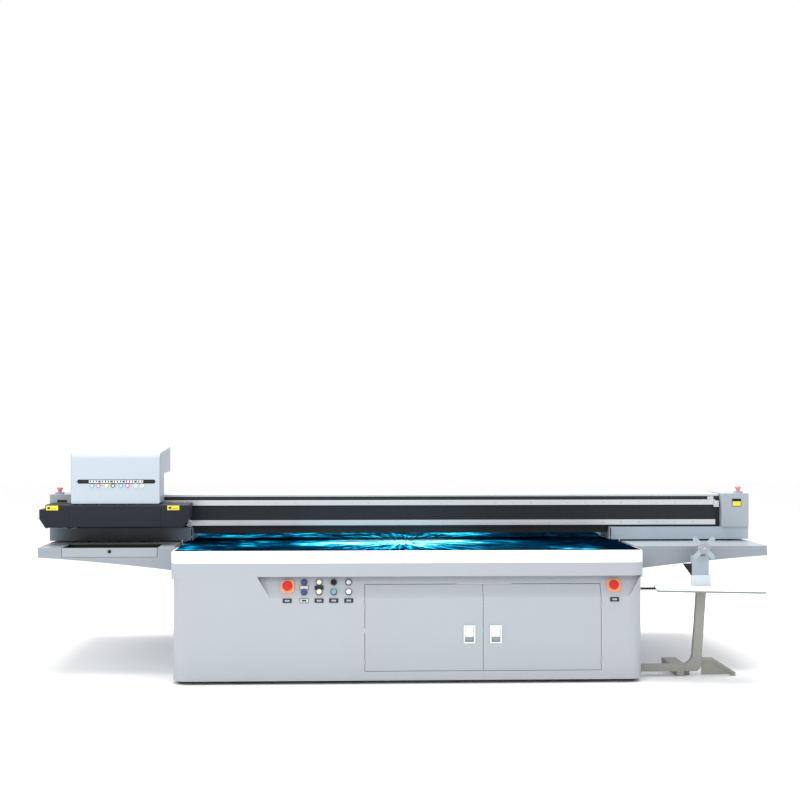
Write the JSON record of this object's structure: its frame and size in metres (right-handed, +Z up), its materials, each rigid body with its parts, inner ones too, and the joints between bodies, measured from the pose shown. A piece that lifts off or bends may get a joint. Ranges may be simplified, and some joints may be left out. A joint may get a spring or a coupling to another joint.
{
  "type": "flatbed uv printer",
  "caption": "Wide flatbed UV printer: vacuum table base with cabinet doors, gantry beam, parked print carriage, side wings and an operator stand.",
  "frame": {"origin": "on the floor under the middle of the machine's bounding box", "axes": "+X along the beam to the machine's right, +Y to the rear, +Z up"},
  "size_m": [4.614, 2.1896, 1.4207],
  "materials": {
    "grey_paint": "satin powder coat",
    "white_trim": "gloss moulded rim",
    "wing_paint": "satin powder coat",
    "frame_paint": "satin paint",
    "steel": "ground",
    "table_alu": "anodised",
    "print": "printed sheet",
    "black_alu": "black anodised",
    "top_alu": "anodised",
    "cover_white": "satin powder coat",
    "dark_cover": "satin",
    "lamp_black": "anodised",
    "rubber": "matt",
    "red": "gloss",
    "orange": "satin",
    "bezel_metal": "satin chrome",
    "blue": "gloss",
    "ivory": "gloss",
    "green": "gloss",
    "white_button": "gloss",
    "lens": "clear",
    "black_plastic": "matt",
    "ink_window": "gloss",
    "tank_plastic": "translucent",
    "stand_beige": "satin paint",
    "stand_white": "satin powder coat",
    "blower_alu": "cast"
  },
  "bodies": {
    "base": {"base_frame": "frame_paint", "leveling_feet": "rubber", "front_cover": "grey_paint", "front_rim": "white_trim", "side_cover_left": "grey_paint", "side_cover_right": "grey_paint", "rear_cover": "grey_paint", "vacuum_table": "table_alu", "printed_sheet": "print", "y_rails": "steel", "wing_left": "wing_paint", "wing_right": "wing_paint", "button_bezels": "bezel_metal", "estop_collars": "orange", "indicator_lamp": "lens", "vacuum_blower": "blower_alu", "ink_tanks": "tank_plastic", "electronics_box": "grey_paint", "stand_foot": "stand_beige", "stand_column": "stand_beige", "keyboard_shelf": "stand_white", "shelf_brackets": "black_plastic", "monitor_neck": "stand_white"},
    "left_door": {"door_left": "grey_paint"},
    "right_door": {"door_right": "grey_paint"},
    "left_latch": {"latch_paddle_left": "bezel_metal"},
    "right_latch": {"latch_paddle_right": "bezel_metal"},
    "drawer": {"service_drawer": "wing_paint", "capping_station": "rubber"},
    "drawer_lock": {"drawer_lock": "black_plastic"},
    "estop_left": {"estop_button_left": "red"},
    "estop_right": {"estop_button_right": "red"},
    "blue_upper": {"blue_button_upper": "blue"},
    "blue_lower": {"blue_button_lower": "blue"},
    "ivory_upper": {"ivory_button_upper": "ivory"},
    "ivory_lower": {"ivory_button_lower": "ivory"},
    "green": {"green_button": "green"},
    "white": {"white_button": "white_button"},
    "selector": {"selector_knob": "black_plastic"},
    "gantry": {"saddles": "steel", "support_box_left": "wing_paint", "support_box_right": "wing_paint", "end_box_left": "wing_paint", "end_box_right": "wing_paint", "beam": "black_alu", "beam_top_cover": "top_alu", "x_rails": "steel"},
    "gantry_estop_l": {"gantry_estop_left": "red"},
    "gantry_estop_r": {"gantry_estop_right": "red"},
    "carriage": {"carriage_plate": "table_alu", "carriage_cover": "cover_white", "ink_windows": "ink_window", "lower_cover": "dark_cover", "lamp_cover_left": "dark_cover", "lamp_cover_right": "dark_cover", "uv_lamps": "lamp_black"},
    "heads": {"head_plate": "table_alu", "print_heads": "black_alu"},
    "monitor_swivel": {"monitor_hub": "frame_paint"},
    "monitor_plate": {"vesa_plate": "stand_white"}
  },
  "joints": [
    {"name": "gantry_travel", "type": "slide", "parent": "base", "child": "gantry", "axis": [0, 1, 0], "range_m": [-0.4, 0.92]},
    {"name": "carriage_travel", "type": "slide", "parent": "gantry", "child": "carriage", "axis": [1, 0, 0], "range_m": [0, 3.66]},
    {"name": "head_lift", "type": "slide", "parent": "carriage", "child": "heads", "axis": [0, 0, 1], "range_m": [-0.105, 0.01]},
    {"name": "left_door_hinge", "type": "hinge", "parent": "base", "child": "left_door", "pos_m": [-0.267, -0.954, 0.3], "axis": [0, 0, -1], "range_deg": [0, 110]},
    {"name": "right_door_hinge", "type": "hinge", "parent": "base", "child": "right_door", "pos_m": [1.164, -0.954, 0.3], "axis": [0, 0, 1], "range_deg": [0, 110]},
    {"name": "left_paddle", "type": "hinge", "parent": "left_door", "child": "left_latch", "pos_m": [0.364, -0.949, 0.337], "axis": [-1, 0, 0], "range_deg": [0, 30], "stiffness_Nm_per_rad": 0.2},
    {"name": "right_paddle", "type": "hinge", "parent": "right_door", "child": "right_latch", "pos_m": [0.524, -0.949, 0.337], "axis": [-1, 0, 0], "range_deg": [0, 30], "stiffness_Nm_per_rad": 0.2},
    {"name": "drawer_slide", "type": "slide", "parent": "base", "child": "drawer", "axis": [0, -1, 0], "range_m": [0, 0.25]},
    {"name": "drawer_lock_turn", "type": "hinge", "parent": "drawer", "child": "drawer_lock", "pos_m": [-1.8455, -0.645, 0.774], "axis": [0, 1, 0], "range_deg": [0, 90]},
    {"name": "estop_left_press", "type": "slide", "parent": "base", "child": "estop_left", "axis": [0, 0.906, -0.4233], "range_m": [0, 0.006]},
    {"name": "estop_right_press", "type": "slide", "parent": "base", "child": "estop_right", "axis": [0, 0.906, -0.4233], "range_m": [0, 0.006]},
    {"name": "gantry_estop_left_press", "type": "slide", "parent": "gantry", "child": "gantry_estop_l", "axis": [0, 0, -1], "range_m": [0, 0.006]},
    {"name": "gantry_estop_right_press", "type": "slide", "parent": "gantry", "child": "gantry_estop_r", "axis": [0, 0, -1], "range_m": [0, 0.006]},
    {"name": "blue_upper_press", "type": "slide", "parent": "base", "child": "blue_upper", "axis": [0, 0.906, -0.4233], "range_m": [0, 0.004], "stiffness_N_per_m": 900},
    {"name": "blue_lower_press", "type": "slide", "parent": "base", "child": "blue_lower", "axis": [0, 0.906, -0.4233], "range_m": [0, 0.004], "stiffness_N_per_m": 900},
    {"name": "ivory_upper_press", "type": "slide", "parent": "base", "child": "ivory_upper", "axis": [0, 0.906, -0.4233], "range_m": [0, 0.004], "stiffness_N_per_m": 900},
    {"name": "ivory_lower_press", "type": "slide", "parent": "base", "child": "ivory_lower", "axis": [0, 0.906, -0.4233], "range_m": [0, 0.004], "stiffness_N_per_m": 900},
    {"name": "green_press", "type": "slide", "parent": "base", "child": "green", "axis": [0, 0.906, -0.4233], "range_m": [0, 0.004], "stiffness_N_per_m": 900},
    {"name": "white_press", "type": "slide", "parent": "base", "child": "white", "axis": [0, 0.906, -0.4233], "range_m": [0, 0.004], "stiffness_N_per_m": 900},
    {"name": "selector_turn", "type": "hinge", "parent": "base", "child": "selector", "pos_m": [-0.454, -0.9134, 0.607], "axis": [0, 0.906, -0.4233], "range_deg": [-45, 45]},
    {"name": "monitor_swivel_turn", "type": "hinge", "parent": "base", "child": "monitor_swivel", "pos_m": [1.837, -0.741, 0.78], "axis": [0, 0, 1], "range_deg": [-30, 30]},
    {"name": "monitor_tilt", "type": "hinge", "parent": "monitor_swivel", "child": "monitor_plate", "pos_m": [1.837, -0.779, 0.798], "axis": [1, 0, 0], "range_deg": [-15, 20]}
  ]
}
